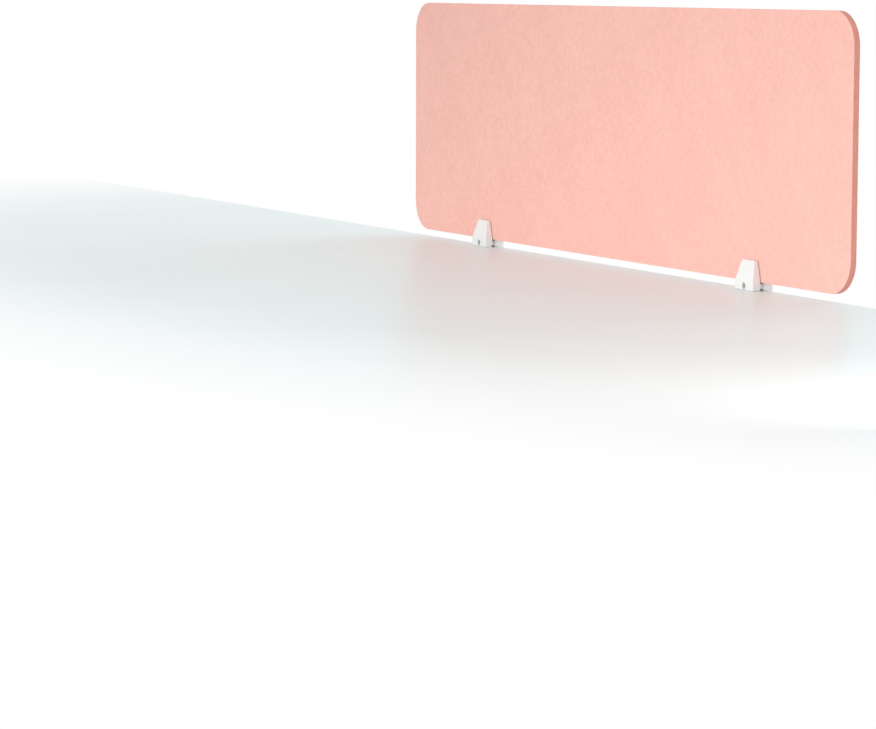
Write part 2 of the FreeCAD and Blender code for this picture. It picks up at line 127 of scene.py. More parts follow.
class Finish:
    """A node material around one Principled shader, whose fixed numbers sit on its sockets."""

    def __init__(self, name, **fixed):
        self.material = bpy.data.materials.new(name)
        self.material.use_nodes = True
        self.tree = self.material.node_tree
        self.shader = self.tree.nodes["Principled BSDF"]
        for socket, value in fixed.items():
            self.shader.inputs[socket.replace("_", " ")].default_value = value

    def node(self, kind, settings=None, inputs=None, output=0):
        """Add a node: its settings first, then the values or links of its sockets."""
        node = self.tree.nodes.new(kind)
        for name, value in (settings or {}).items():
            setattr(node, name, value)
        for key, value in (inputs or {}).items():
            socket = node.inputs[key]
            if isinstance(value, Value):
                self.tree.links.new(value.socket, socket)
            else:
                socket.default_value = value
        return Value(self, node.outputs[output])

    def place(self):
        """Where a point is on the object, in metres."""
        return self.node("ShaderNodeTexCoord", output="Object")

    def stretched(self, place, scale, centre=(0.0, 0.0, 0.0)):
        """The place measured from a centre and stretched along each axis."""
        shifted = self.node("ShaderNodeVectorMath", {"operation": "SUBTRACT"},
                            {0: place, 1: centre})
        return self.node("ShaderNodeVectorMath", {"operation": "MULTIPLY"},
                         {0: shifted, 1: scale})

    def noise(self, place, per_metre, detail=2.0, roughness=0.5, distortion=0.0):
        """Cloudy noise of about one lump per 1 / per_metre."""
        return self.node("ShaderNodeTexNoise", None,
                         {"Vector": place, "Scale": per_metre, "Detail": detail,
                          "Roughness": roughness, "Distortion": distortion}, "Fac")

    def specks(self, place, per_metre):
        """Distance to the nearest of many scattered points, and that point's own random value."""
        inputs = {"Vector": place, "Scale": per_metre, "Randomness": 1.0}
        distance = self.node("ShaderNodeTexVoronoi", None, inputs, "Distance")
        colour = self.node("ShaderNodeTexVoronoi", None, inputs, "Color")
        lot = self.node("ShaderNodeSeparateColor", None, {"Color": colour}, "Red")
        return distance, lot

    def strands(self, place, per_metre, width, drift):
        """Thin curly lines: where a twisted noise passes through its middle value."""
        wander = self.noise(place, per_metre, 1.0, 0.5, drift)
        return abs(wander - 0.5).fade(0.0, width)

    def mix(self, share, first, second):
        """Colour between first and second."""
        return self.node("ShaderNodeMix", {"data_type": "RGBA", "blend_type": "MIX"},
                         {0: share, 6: first, 7: second}, 2)

    def colour(self, value):
        self.tree.links.new(value.socket, self.shader.inputs["Base Color"])

    def roughness(self, value):
        self.tree.links.new(value.socket, self.shader.inputs["Roughness"])

    def bump(self, height, distance, strength):
        """Raise the surface by height times distance, in metres."""
        normal = self.node("ShaderNodeBump", None,
                           {"Height": height, "Distance": distance, "Strength": strength})
        self.tree.links.new(normal.socket, self.shader.inputs["Normal"])


def rgba(colour):
    """A colour property with its alpha added."""
    return (*colour, 1.0)


def shade(colour, factor):
    """The colour made lighter or darker by a factor, kept in range."""
    return tuple(min(1.0, channel * factor) for channel in colour)


# ---------------------------------------------------------------- surfaces

def new_piece(name, points):
    """Mesh of a grid of points, round along its first axis and open along its second.

    Neighbouring points of the grid make four-sided faces. Rows that shrink to a point or a
    line at either end are merged there, so the surface is closed.
    """
    around, across = points.shape[:2]
    i = np.arange(around)[:, None]
    j = np.arange(across - 1)[None, :]
    after = (i + 1) % around
    faces = np.stack(np.broadcast_arrays(i * across + j, after * across + j,
                                         after * across + j + 1, i * across + j + 1), -1)
    flat = points.reshape(-1, 3)
    # Points that fall together share one vertex, and faces lose the sides that vanish.
    rounded = np.round(flat / (0.001 * MM)).astype(np.int64)
    _, first, shared = np.unique(rounded, axis=0, return_index=True, return_inverse=True)
    corners = shared.reshape(-1)[faces.reshape(-1, 4)]
    kept = corners != np.roll(corners, 1, axis=1)
    sides = kept.sum(1)
    polygons = corners[sides == 4].tolist()
    triangles = corners[sides == 3][kept[sides == 3]].reshape(-1, 3)
    mesh = bpy.data.meshes.new(name)
    mesh.from_pydata(flat[first], [], polygons + triangles.tolist())
    mesh.validate()
    mesh.polygons.foreach_set("use_smooth", np.ones(len(mesh.polygons), bool))
    mesh.update()
    piece = bpy.data.objects.new(name, mesh)
    bpy.context.scene.collection.objects.link(piece)
    return piece


def rounded_outline(corners, radii, spacing, arc_steps):
    """Closed convex outline with rounded corners, anticlockwise, and its outward normals.

    Each corner's arc is centre + radius * (cos, sin) of an angle that runs between the
    outward normals of its two sides. Between two arcs a straight run is divided evenly.
    """
    corners = np.asarray(corners, float)
    radii = np.asarray(radii, float)
    along = np.roll(corners, -1, axis=0) - corners
    length = np.linalg.norm(along, axis=1, keepdims=True)
    along = along / length
    outward = np.stack([along[:, 1], -along[:, 0]], 1)
    into, out = np.roll(outward, 1, axis=0), outward
    middle = into + out
    middle = middle / (middle * out).sum(1, keepdims=True)
    centres = corners - radii[:, None] * middle
    start = np.arctan2(into[:, 1], into[:, 0])
    turn = (np.arctan2(out[:, 1], out[:, 0]) - start) % (2.0 * math.pi)
    angles = start[:, None] + turn[:, None] * np.linspace(0.0, 1.0, arc_steps + 1)
    normals = np.stack([np.cos(angles), np.sin(angles)], -1)
    arcs = centres[:, None] + radii[:, None, None] * normals
    points, directions = [], []
    for k, arc in enumerate(arcs):
        end = arcs[(k + 1) % len(arcs), 0]
        count = max(1, round(float(np.linalg.norm(end - arc[-1])) / spacing))
        share = np.linspace(0.0, 1.0, count + 1)[1:-1, None]
        run = arc[-1] + (end - arc[-1]) * share
        points += [arc, run]
        directions += [normals[k], np.broadcast_to(out[k], run.shape)]
    return np.concatenate(points), np.concatenate(directions)


def rectangle(half_across, half_along, radius, spacing, arc_steps):
    """Rounded rectangle about the origin, its outward normals and its core.

    The core is the middle line between its two ends, which the faces of a slab close on.
    """
    corners = [(-half_across, -half_along), (half_across, -half_along),
               (half_across, half_along), (-half_across, half_along)]
    outline, normals = rounded_outline(corners, [radius] * 4, spacing, arc_steps)
    half_line = half_across - half_along
    core = np.stack([np.clip(outline[:, 0], -half_line, half_line), np.zeros(len(outline))], 1)
    return outline, normals, core


def rim_rows(thickness, ease, ease_steps, side_steps, face_steps):
    """Rows across a slab, from the middle of one face round its rim to the other's.

    Each row is (inset from the outline, share of the way to the core, height). The faces run
    from share 1 to 0, the eased rims are quarter circles, and the side is straight.
    """
    quarter = np.linspace(0.0, 0.5 * math.pi, ease_steps + 1)
    face = np.stack([np.full(face_steps, ease), np.linspace(1.0, 0.0, face_steps + 1)[:-1],
                     np.zeros(face_steps)], 1)
    lower = np.stack([ease * (1.0 - np.sin(quarter)), np.zeros(ease_steps + 1),
                      ease * (1.0 - np.cos(quarter))], 1)
    heights = np.linspace(ease, thickness - ease, side_steps + 1)[1:-1]
    side = np.stack([np.zeros(len(heights)), np.zeros(len(heights)), heights], 1)
    upper = lower[::-1] * (1.0, 1.0, -1.0) + (0.0, 0.0, thickness)
    top = face[::-1] + (0.0, 0.0, thickness)
    return np.concatenate([face, lower, side, upper, top])


def full_turn(steps):
    """Angles evenly round a circle, each once."""
    return np.linspace(0.0, 2.0 * math.pi, steps + 1)[:-1]


def slab_points(outline, normals, core, rows):
    """Grid of (across, up the outline, height): the outline drawn in by the inset along its
    normal, then moved a share of the way to the core, for each row."""
    inset = rows[None, :, 0:1]
    share = rows[None, :, 1:2]
    drawn = outline[:, None] - inset * normals[:, None]
    flat = drawn + (core[:, None] - drawn) * share
    height = np.broadcast_to(rows[None, :, 2:3], flat.shape[:2] + (1,))
    return np.concatenate([flat, height], -1)


def standing(grid, front_y):
    """Turn (across, up, depth) into X, Y, Z with depth running back from front_y.

    The outline is walked the other way round, so that the faces still look outwards.
    """
    return np.stack([grid[..., 0], front_y + grid[..., 2], grid[..., 1]], -1)[::-1]


def lying(grid, low_z):
    """Turn (across, along, height) into X, Y, Z with height running up from low_z."""
    return np.stack([grid[..., 0], grid[..., 1], low_z + grid[..., 2]], -1)


def ripple(x, z, amount):
    """Gentle unevenness of a pressed sheet: three crossing waves, each of another length."""
    return amount * sum(np.sin(along_x * x + along_z * z) for along_x, along_z in WAVES) / 3.0


def cover(piece, body, slot, finish, *nodes):
    """Let a new piece ride on its body in place of the plain parts that it stands for."""
    piece.data.materials.append(finish.material)
    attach(piece, body)
    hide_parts(*nodes)


def dress(finish, *nodes):
    """Give carried-over parts their finish."""
    for node in nodes:
        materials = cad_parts[node].data.materials
        materials.clear()
        materials.append(finish.material)


# ---------------------------------------------------------------- settings

class FeltSettings(bpy.types.PropertyGroup):
    corner_radius: FloatProperty(name="Corner radius", description="Round at the board's corners",
                                 default=50 * MM, min=1 * MM, unit="LENGTH")
    edge_ease: FloatProperty(name="Edge ease", description="Round along the cut edge",
                             default=0.6 * MM, min=0.1 * MM, unit="LENGTH")
    unevenness: FloatProperty(name="Unevenness", description="Depth of the pressed sheet's waves",
                              default=0.06 * MM, min=0.0, unit="LENGTH")
    spacing: FloatProperty(name="Spacing", description="Mesh spacing along the outline",
                           default=2.8 * MM, min=1 * MM, unit="LENGTH")
    body_colour: FloatVectorProperty(name="Felt", description="Main colour of the fibres",
                                     subtype="COLOR", size=3, min=0, max=1,
                                     default=(0.955, 0.525, 0.452))
    edge_colour: FloatVectorProperty(name="Cut edge", description="Colour of the cut fibres",
                                     subtype="COLOR", size=3, min=0, max=1,
                                     default=(0.71, 0.300, 0.240))
    pale_colour: FloatVectorProperty(name="Pale fibres", description="Colour of the pale strands",
                                     subtype="COLOR", size=3, min=0, max=1,
                                     default=(1.0, 0.78, 0.72))
    deep_colour: FloatVectorProperty(name="Deep fibres", description="Colour of the deep strands",
                                     subtype="COLOR", size=3, min=0, max=1,
                                     default=(0.72, 0.26, 0.20))
    sheen: FloatProperty(name="Sheen", description="Soft glow of the fibre ends",
                         default=0.12, min=0.0, max=1.0, subtype="FACTOR")


class ClampSettings(bpy.types.PropertyGroup):
    thread_pitch: FloatProperty(name="Thread pitch", description="Rise of one turn of the screw",
                                default=1.25 * MM, min=0.5 * MM, unit="LENGTH")
    thread_depth: FloatProperty(name="Thread depth", description="Crest to root",
                                default=0.70 * MM, min=0.1 * MM, unit="LENGTH")
    rows_per_turn: IntProperty(name="Rows per turn", description="Mesh rows in one thread pitch",
                               default=12, min=6)
    screw_play: FloatProperty(name="Screw play", description="Room for the retaining clip",
                              default=0.06 * MM, min=0.01 * MM, unit="LENGTH")
    pad_ease: FloatProperty(name="Pad ease", description="Round at the rims of the pads",
                            default=0.3 * MM, min=0.05 * MM, unit="LENGTH")
    coat_colour: FloatVectorProperty(name="Coat", description="Powder coat of frames and jaws",
                                     subtype="COLOR", size=3, min=0, max=1,
                                     default=(0.82, 0.82, 0.81))
    pad_colour: FloatVectorProperty(name="Pads", description="Rubber of the pads",
                                    subtype="COLOR", size=3, min=0, max=1,
                                    default=(0.66, 0.645, 0.62))
    knob_colour: FloatVectorProperty(name="Knob", description="Moulded plastic of the knobs",
                                     subtype="COLOR", size=3, min=0, max=1,
                                     default=(0.80, 0.80, 0.79))
    steel_colour: FloatVectorProperty(name="Steel", description="Zinc plated steel",
                                      subtype="COLOR", size=3, min=0, max=1,
                                      default=(0.60, 0.60, 0.605))


class StageSettings(bpy.types.PropertyGroup):
    floor_colour: FloatVectorProperty(name="Floor", description="Desktop under the clamps",
                                      subtype="COLOR", size=3, min=0, max=1,
                                      default=(0.785, 0.880, 0.885))
    floor_reach: FloatProperty(name="Floor reach", description="From the desktop's rear edge",
                               default=16.0, min=1.0, unit="LENGTH")
    floor_near: FloatProperty(name="Floor fades from", description="Where the surround begins",
                              default=0.75, min=0.1, unit="LENGTH")
    floor_far: FloatProperty(name="Floor fades to", description="Where the floor is all white",
                             default=1.5, min=0.2, unit="LENGTH")
    surround_light: FloatProperty(name="Surround light", description="Light off the surround",
                                  default=0.10, min=0.0, max=1.0)
    floor_thickness: FloatProperty(name="Floor thickness", description="Depth of the desktop",
                                   default=18 * MM, min=5 * MM, unit="LENGTH")
    ambient: FloatProperty(name="Ambient", description="Even light from all round",
                           default=0.85, min=0.0)
    key_power: FloatProperty(name="Key lamp", description="Large soft lamp in front",
                             default=20.0, min=0.0, unit="POWER")
    side_power: FloatProperty(name="Side lamp", description="Small lamp beyond the right end",
                             default=2.4, min=0.0, unit="POWER")
    rear_power: FloatProperty(name="Rear lamp", description="Soft lamp behind the board",
                              default=30.0, min=0.0, unit="POWER")
    focal_length: FloatProperty(name="Focal length", description="Camera lens",
                                default=133.07 * MM, min=10 * MM, subtype="DISTANCE",
                                unit="CAMERA")
    eye: FloatVectorProperty(name="Eye", description="Where the camera stands", size=3,
                             default=(4.4999, -2.5366, 0.4598), subtype="XYZ", unit="LENGTH")
    eye_yaw: FloatProperty(name="Yaw", description="Turn of the view away from the board",
                           default=math.radians(26.273), unit="ROTATION")
    eye_pitch: FloatProperty(name="Pitch", description="How far the view looks down",
                             default=math.radians(6.845), unit="ROTATION")
    eye_roll: FloatProperty(name="Roll", description="Tilt of the view about its own axis",
                            default=math.radians(0.127), unit="ROTATION")


# ---------------------------------------------------------------- finishes

def felt_finish(settings):
    """Needled polyester felt: mottled fibres with pale and deep strands and a layered cut edge.

    Grain, tuft, mottle and cloud are the same kind of noise, from the finest to the broadest.
    """
    finish = Finish("felt", Roughness=0.92, Sheen_Weight=settings.sheen, Sheen_Roughness=0.45,
                    Specular_IOR_Level=0.2)
    place = finish.place()
    cut = finish.node("ShaderNodeAttribute", {"attribute_name": "cut"}, output="Fac")
    grain = finish.noise(place, 700.0, 3.0, 0.6)
    tuft = finish.noise(place, 125.0, 3.0, 0.6)
    mottle = finish.noise(place, 42.0, 3.0, 0.55)
    cloud = finish.noise(place, 7.0, 2.0, 0.5)
    pale = finish.strands(place, 260.0, 0.030, 1.6) * finish.noise(place, 95.0).ramp(0.50, 0.66)
    deep = finish.strands(place, 330.0, 0.026, 2.1) * finish.noise(place, 120.0).ramp(0.54, 0.68)
    distance, lot = finish.specks(place, 120.0)
    near_fleck = distance.fade(0.10, 0.34)
    pale_fleck = near_fleck * lot.ramp(0.86, 0.90)
    deep_fleck = near_fleck * lot.fade(0.08, 0.12)

    body = settings.body_colour
    base = finish.mix(grain.ramp(0.25, 0.75), rgba(shade(body, 0.93)), rgba(shade(body, 1.05)))
    base = finish.mix(tuft.fade(0.36, 0.54) * 0.55, base, rgba(shade(body, 0.88)))
    base = finish.mix(tuft.ramp(0.50, 0.66) * 0.55, base, rgba(shade(body, 1.10)))
    base = finish.mix((mottle - 0.5) * 0.5 + 0.25, base, rgba(shade(body, 1.08)))
    base = finish.mix((cloud - 0.5) * 0.4 + 0.2, base, rgba(shade(body, 0.95)))
    base = finish.mix(pale * 0.34 + pale_fleck * 0.30, base, rgba(settings.pale_colour))
    base = finish.mix(deep * 0.34 + deep_fleck * 0.28, base, rgba(settings.deep_colour))

    layers = finish.noise(finish.stretched(place, (60.0, 1300.0, 60.0)), 1.0, 3.0, 0.6, 0.4)
    edge = settings.edge_colour
    cut_base = finish.mix(layers.ramp(0.30, 0.70), rgba(shade(edge, 0.86)),
                          rgba(shade(edge, 1.10)))
    cut_base = finish.mix(grain.ramp(0.45, 0.75) * 0.35, cut_base, rgba(shade(edge, 1.25)))
    finish.colour(finish.mix(cut, base, cut_base))
    finish.roughness(0.86 + grain * 0.12)
    finish.bump(grain * 0.5 + pale * 0.5 - deep * 0.3 + layers * cut * 0.8, 0.12 * MM, 0.55)
    return finish


def coat_finish(settings):
    """Satin powder coat: fine orange peel with the odd pit, and painted shade in each pit."""
    finish = Finish("white_coat", Specular_IOR_Level=0.45)
    place = finish.place()
    peel = finish.noise(place, 900.0, 2.0, 0.5)
    fine = finish.noise(place, 4200.0, 1.0, 0.5)
    cloud = finish.noise(place, 40.0, 3.0, 0.5)
    distance, lot = finish.specks(place, 500.0)
    pit = distance.fade(0.05, 0.20) * lot.ramp(0.93, 0.97)
    coat = settings.coat_colour
    base = finish.mix(cloud.ramp(0.3, 0.7), rgba(shade(coat, 0.985)), rgba(shade(coat, 1.01)))
    # Each pit is painted a little darker: painted shade in the pit, besides its dip in the bump.
    finish.colour(finish.mix(pit * 0.15, base, rgba(shade(coat, 0.80))))
    finish.roughness(0.40 + peel * 0.12 + cloud * 0.06)
    finish.bump(peel * 0.7 + fine * 0.3 - pit, 0.05 * MM, 0.5)
    return finish


def rubber_finish(settings):
    """Pale matt rubber with a dusty bloom and a fine moulded grain."""
    finish = Finish("pad_rubber", Specular_IOR_Level=0.3)
    place = finish.place()
    grain = finish.noise(place, 2600.0, 2.0, 0.6)
    bloom = finish.noise(place, 130.0, 4.0, 0.6)
    pad = settings.pad_colour
    base = finish.mix(bloom.ramp(0.3, 0.7), rgba(shade(pad, 0.90)), rgba(shade(pad, 1.08)))
    finish.colour(finish.mix(grain.ramp(0.6, 0.8) * 0.3, base, rgba(shade(pad, 1.25))))
    finish.roughness(0.70 + bloom * 0.2)
    finish.bump(grain, 0.05 * MM, 0.6)
    return finish


def steel_finish(name, settings, centre, axis, tone, gloss):
    """Zinc plated steel with turning marks: rings about an axis through the centre.

    The tone makes the plating lighter or darker, and the gloss is its least roughness.
    """
    finish = Finish(name, Metallic=1.0)
    place = finish.place()
    across = tuple(0.0 if k == axis else 1.0 for k in range(3))
    away = finish.node("ShaderNodeVectorMath", {"operation": "LENGTH"},
                       {0: finish.stretched(place, across, centre)}, "Value")
    along = finish.node("ShaderNodeSeparateXYZ", None, {0: place}, axis)
    rings = finish.node("ShaderNodeTexNoise", {"noise_dimensions": "1D"},
                        {"W": away + along * 0.7, "Scale": 5200.0, "Detail": 2.0}, "Fac")
    spangle = finish.noise(place, 750.0, 3.0, 0.6)
    cloud = finish.noise(place, 160.0, 3.0, 0.5)
    steel = shade(settings.steel_colour, tone)
    bluish = (steel[0] * 0.94, steel[1] * 0.97, steel[2] * 1.02)
    base = finish.mix(spangle.ramp(0.3, 0.7), rgba(shade(steel, 0.88)), rgba(shade(steel, 1.10)))
    finish.colour(finish.mix(cloud.ramp(0.45, 0.75) * 0.4, base, rgba(bluish)))
    finish.roughness(gloss + spangle * 0.14 + rings * 0.10)
    finish.bump(rings * 0.6 + spangle * 0.4, 0.02 * MM, 0.6)
    return finish


def plastic_finish(settings):
    """White moulded plastic with a fine spark-eroded texture."""
    finish = Finish("knob_plastic", Specular_IOR_Level=0.45)
    place = finish.place()
    distance, _ = finish.specks(place, 1700.0)
    grain = finish.noise(place, 2200.0, 2.0, 0.55)
    cloud = finish.noise(place, 90.0, 3.0, 0.5)
    knob = settings.knob_colour
    finish.colour(finish.mix(cloud.ramp(0.3, 0.7), rgba(shade(knob, 0.97)),
                             rgba(shade(knob, 1.02))))
    finish.roughness(0.48 + grain * 0.12)
    finish.bump(distance.fade(0.0, 0.7) * 0.6 + grain * 0.4, 0.06 * MM, 0.6)
    return finish


def floor_finish(settings):
    """Pale laminate round the object, which fades into a plain white surround further out."""
    finish = Finish("floor", Roughness=0.34, Specular_IOR_Level=0.15)
    place = finish.place()
    cloud = finish.noise(place, 3.0, 3.0, 0.5)
    floor = settings.floor_colour
    finish.colour(finish.mix(cloud.ramp(0.3, 0.7), rgba(shade(floor, 0.99)),
                             rgba(shade(floor, 1.01))))
    low, high = parts_box
    centre = (0.5 * (low.x + high.x), 0.0, 0.0)
    oval = (0.55, 1.0, 0.0)
    away = finish.node("ShaderNodeVectorMath", {"operation": "LENGTH"},
                       {0: finish.stretched(place, oval, centre)}, "Value")
    glow = finish.node("ShaderNodeEmission", None,
                       {"Strength": seen_directly(finish) * (1.0 - settings.surround_light)
                        + settings.surround_light}, "Emission")
    laid = finish.node("ShaderNodeMixShader", None,
                       {0: away.ramp(settings.floor_near, settings.floor_far),
                        1: Value(finish, finish.shader.outputs["BSDF"]), 2: glow})
    surface = finish.tree.nodes["Material Output"].inputs["Surface"]
    finish.tree.links.new(laid.socket, surface)
    return finish


def seen_directly(finish):
    """1 where the eye or a reflection looks, 0 for light on its way to other surfaces."""
    rays = [finish.node("ShaderNodeLightPath", output=ray)
            for ray in ("Is Camera Ray", "Is Glossy Ray", "Is Transmission Ray")]
    return finish.node("ShaderNodeMath", {"operation": "ADD", "use_clamp": True},
                       {0: rays[0] + rays[1], 1: rays[2]})


# ---------------------------------------------------------------- pieces

def mark_cut_edge(piece, inner_y, outer_y, ease):
    """Store on each point whether it lies on the cut edge: 1 between the eased rims, else 0."""
    count = len(piece.data.vertices)
    places = np.empty(count * 3)
    piece.data.vertices.foreach_get("co", places)
    depth = places.reshape(-1, 3)[:, 1]
    inside = np.minimum(depth - inner_y, outer_y - depth)
    share = np.clip(inside / ease, 0.0, 1.0)
    cut = piece.data.attributes.new("cut", "FLOAT", "POINT")
    cut.data.foreach_set("value", share)


def make_felt_board(settings):
    """The board: a rounded rectangle carried across its thickness with eased rims.

    The faces close on the middle line between the two ends. They dip by the ripple, never
    outwards, and the cut edge is drawn in by a small roughness that follows its layers.
    """
    low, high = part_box("felt_panel")
    centre = 0.5 * (low + high)
    outline, normals, core = rectangle(high.x - centre.x, high.z - centre.z,
                                       settings.corner_radius, settings.spacing, arc_steps=30)
    thickness = high.y - low.y
    rows = rim_rows(thickness, settings.edge_ease, ease_steps=4, side_steps=18, face_steps=12)
    grid = slab_points(outline, normals, core, rows)
    on_edge = np.clip(np.minimum(grid[..., 2], thickness - grid[..., 2]) / settings.edge_ease,
                      0.0, 1.0)
    # The layers of the cut edge wander a little up and down along the outline.
    layer_depth, layer_rate = 0.05 * MM, 2600.0
    wander = 0.9 * np.sin(0.37 * np.arange(len(outline))[:, None])
    layers = 0.5 + 0.5 * np.sin(layer_rate * grid[..., 2] + wander)
    grid[..., :2] -= (layer_depth * layers * on_edge)[..., None] * normals[:, None]
    wave = ripple(grid[..., 0], grid[..., 1], 0.5 * settings.unevenness)
    dip = (wave + 0.5 * settings.unevenness) * (1.0 - on_edge)
    grid[..., 2] += np.where(grid[..., 2] < 0.5 * thickness, dip, -dip)
    points = standing(grid, low.y) + (centre.x, 0.0, centre.z)
    board = new_piece("felt_board", points)
    mark_cut_edge(board, low.y, high.y, settings.edge_ease)
    return board


class FeltOperator(bpy.types.Operator):
    """Make the felt board in place of its plain solid"""
    bl_idname = "privacy_panel.felt_board"
    bl_label = "Felt board"

    def execute(self, context):
        settings = context.scene.felt_settings
        board = make_felt_board(settings)
        cover(board, "panel", "felt", felt_finish(settings), "felt_panel")
        return {"FINISHED"}


def jaw_pad_sizes(node):
    """Corners of a jaw pad's box, its middle, half the width of its top, and its shoulder.

    The shoulder is the greatest height at which the pad still has its full width.
    """
    hair = 0.01 * MM
    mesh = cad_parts[node].data
    places = np.empty(len(mesh.vertices) * 3)
    mesh.vertices.foreach_get("co", places)
    places = places.reshape(-1, 3)
    low, high = places.min(0), places.max(0)
    middle = 0.5 * (low[0] + high[0])
    near_top = places[places[:, 2] > high[2] - hair]
    flat_top = near_top[:, 0].max() - middle
    widest = places[places[:, 0] > high[0] - hair]
    shoulder = widest[:, 2].max()
    return low, high, middle, flat_top, shoulder


class PadOperator(bpy.types.Operator):
    """Make the rubber pads with rounded rims in place of their plain solids"""
    bl_idname = "privacy_panel.pads"
    bl_label = "Rubber pads"

    def execute(self, context):
        settings = context.scene.clamp_settings
        finish = rubber_finish(settings)
        for side in SIDES:
            for kind, body in (("front_pad", "jaw"), ("rear_pad", "clamp")):
                node = f"{side}_{kind}"
                pad = make_jaw_pad(node, settings.pad_ease)
                cover(pad, f"{side}_{body}", "pad_rubber", finish, node)
            for kind, body in (("desk_pad", "jaw"), ("edge_pad", "clamp")):
                node = f"{side}_{kind}"
                pad = make_strip_pad(node, settings.pad_ease)
                cover(pad, f"{side}_{body}", "pad_rubber", finish, node)
            node = f"{side}_foot_pad"
            pad = make_foot_pad(node, settings.pad_ease)
            cover(pad, f"{side}_foot", "pad_rubber", finish, node)
        return {"FINISHED"}


def make_jaw_pad(node, ease):
    """A thin pad of the jaw's outline: straight foot, leaning sides and two rounded corners.

    Each top corner lies outside the flat top by the length that its round takes off a side:
    the radius times the tangent of half the angle between the top and the leaning side.
    """
    low, high, middle, flat_top, shoulder = jaw_pad_sizes(node)
    top_round, shoulder_round, foot_round = 4.0 * MM, 1.5 * MM, 0.6 * MM
    foot = high[0] - middle
    lean = (high[2] - shoulder) / (foot - flat_top)
    tip = flat_top + top_round * math.tan(0.5 * math.atan(lean))
    corners = [(-foot, low[2]), (foot, low[2]), (foot, shoulder), (tip, high[2]),
               (-tip, high[2]), (-foot, shoulder)]
    radii = [foot_round, foot_round, shoulder_round, top_round, top_round, shoulder_round]
    outline, normals = rounded_outline(corners, radii, spacing=1.2 * MM, arc_steps=6)
    core = np.broadcast_to([0.0, 0.5 * (low[2] + high[2])], outline.shape)
    rows = rim_rows(high[1] - low[1], ease, ease_steps=4, side_steps=4, face_steps=6)
    grid = slab_points(outline, normals, core, rows)
    return new_piece(f"{node}_rubber", standing(grid, low[1]) + (middle, 0.0, 0.0))


def make_strip_pad(node, ease):
    """A thin rounded rectangle carried across its thickness with eased rims.

    It lies flat or stands, whichever way its solid is thinnest.
    """
    low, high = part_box(node)
    size = high - low
    centre = 0.5 * (low + high)
    lies = size.z < size.y
    along, thickness = (size.y, size.z) if lies else (size.z, size.y)
    outline, normals, core = rectangle(0.5 * size.x, 0.5 * along, radius=1.0 * MM,
                                       spacing=1.5 * MM, arc_steps=5)
    rows = rim_rows(thickness, min(ease, 0.4 * thickness), ease_steps=4, side_steps=3,
                    face_steps=4)
    grid = slab_points(outline, normals, core, rows)
    if lies:
        points = lying(grid, low.z) + (centre.x, centre.y, 0.0)
    else:
        points = standing(grid, low.y) + (centre.x, 0.0, centre.z)
    return new_piece(f"{node}_rubber", points)


def make_foot_pad(node, ease):
    """A round pad: circles of each row's radius at its height.

    Its upper face dips in four rings, where a sine of the distance from the middle is high.
    """
    low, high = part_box(node)
    centre = 0.5 * (low + high)
    radius = high.x - centre.x
    thickness = high.z - low.z
    grooves, groove_depth, hair = 4.0, 0.35 * MM, 0.01 * MM
    rows = rim_rows(thickness, ease, ease_steps=4, side_steps=4, face_steps=40)
    turn = full_turn(96)
    ring = np.stack([np.cos(turn), np.sin(turn)], 1)
    grid = slab_points(radius * ring, ring, np.zeros_like(ring), rows)
    away = np.linalg.norm(grid[..., :2], axis=-1)
    groove = np.clip(np.sin(2.0 * math.pi * grooves * away / radius) * 3.0 - 1.6, 0.0, 1.0)
    grid[..., 2] -= np.where(grid[..., 2] > thickness - hair, groove_depth * groove, 0.0)
    return new_piece(f"{node}_rubber", lying(grid, low.z) + (centre.x, centre.y, 0.0))


def make_clamp_screw(side, settings):
    """A rolled thread below a turned tip: radius as a function of height and angle.

    The radius is the plain bar's, less the thread's depth times a clipped saw-tooth of height
    over pitch minus the turn. The depth fades out at both ends of the threaded stretch.
    """
    low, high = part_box(f"{side}_clamp_screw")
    foot_low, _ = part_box(f"{side}_pressure_foot")
    clip_low, clip_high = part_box(f"{side}_foot_clip")
    centre = 0.5 * (low + high)
    bar = 0.5 * (high.x - low.x)
    tip = bar - 1.0 * MM
    neck = tip - 0.7 * MM
    chamfer = 0.4 * MM
    run_in, run_out = 2.0 * MM, 1.5 * MM
    shoulder = foot_low.z
    step = settings.thread_pitch / settings.rows_per_turn
    thread = np.arange(low.z + chamfer, shoulder - chamfer, step)
    neck_low, neck_high = clip_low.z - settings.screw_play, clip_high.z + settings.screw_play
    # Heights and radii from the lower end up: thread, shoulder, the clip's neck and the tip.
    start = [(low.z, 0.0), (low.z, bar - 0.5 * MM)]
    threaded_rows = np.column_stack([thread, np.full(len(thread), bar)])
    end = [(shoulder, bar - 0.6 * MM), (shoulder, tip), (neck_low, tip), (neck_low, neck),
           (neck_high, neck), (neck_high, tip), (high.z - chamfer, tip),
           (high.z, tip - chamfer), (high.z, 0.0)]
    height, radius = np.concatenate([start, threaded_rows, end]).T
    turn = full_turn(40)
    phase = height[None, :] / settings.thread_pitch - turn[:, None] / (2.0 * math.pi)
    saw = np.abs(2.0 * (phase % 1.0) - 1.0)
    # Clipping the saw-tooth leaves a flat crest and a flat root.
    cut = np.clip(1.35 * saw - 0.20, 0.0, 1.0)
    fade = np.clip((height - low.z) / run_in, 0.0, 1.0)
    fade = fade * np.clip((shoulder - height) / run_out, 0.0, 1.0)
    threaded = (radius == bar) * fade
    away = radius[None, :] - settings.thread_depth * cut * threaded[None, :]
    points = np.stack([centre.x + away * np.cos(turn)[:, None],
                       centre.y + away * np.sin(turn)[:, None],
                       np.broadcast_to(height, away.shape)], -1)
    return new_piece(f"{side}_screw_thread", points)


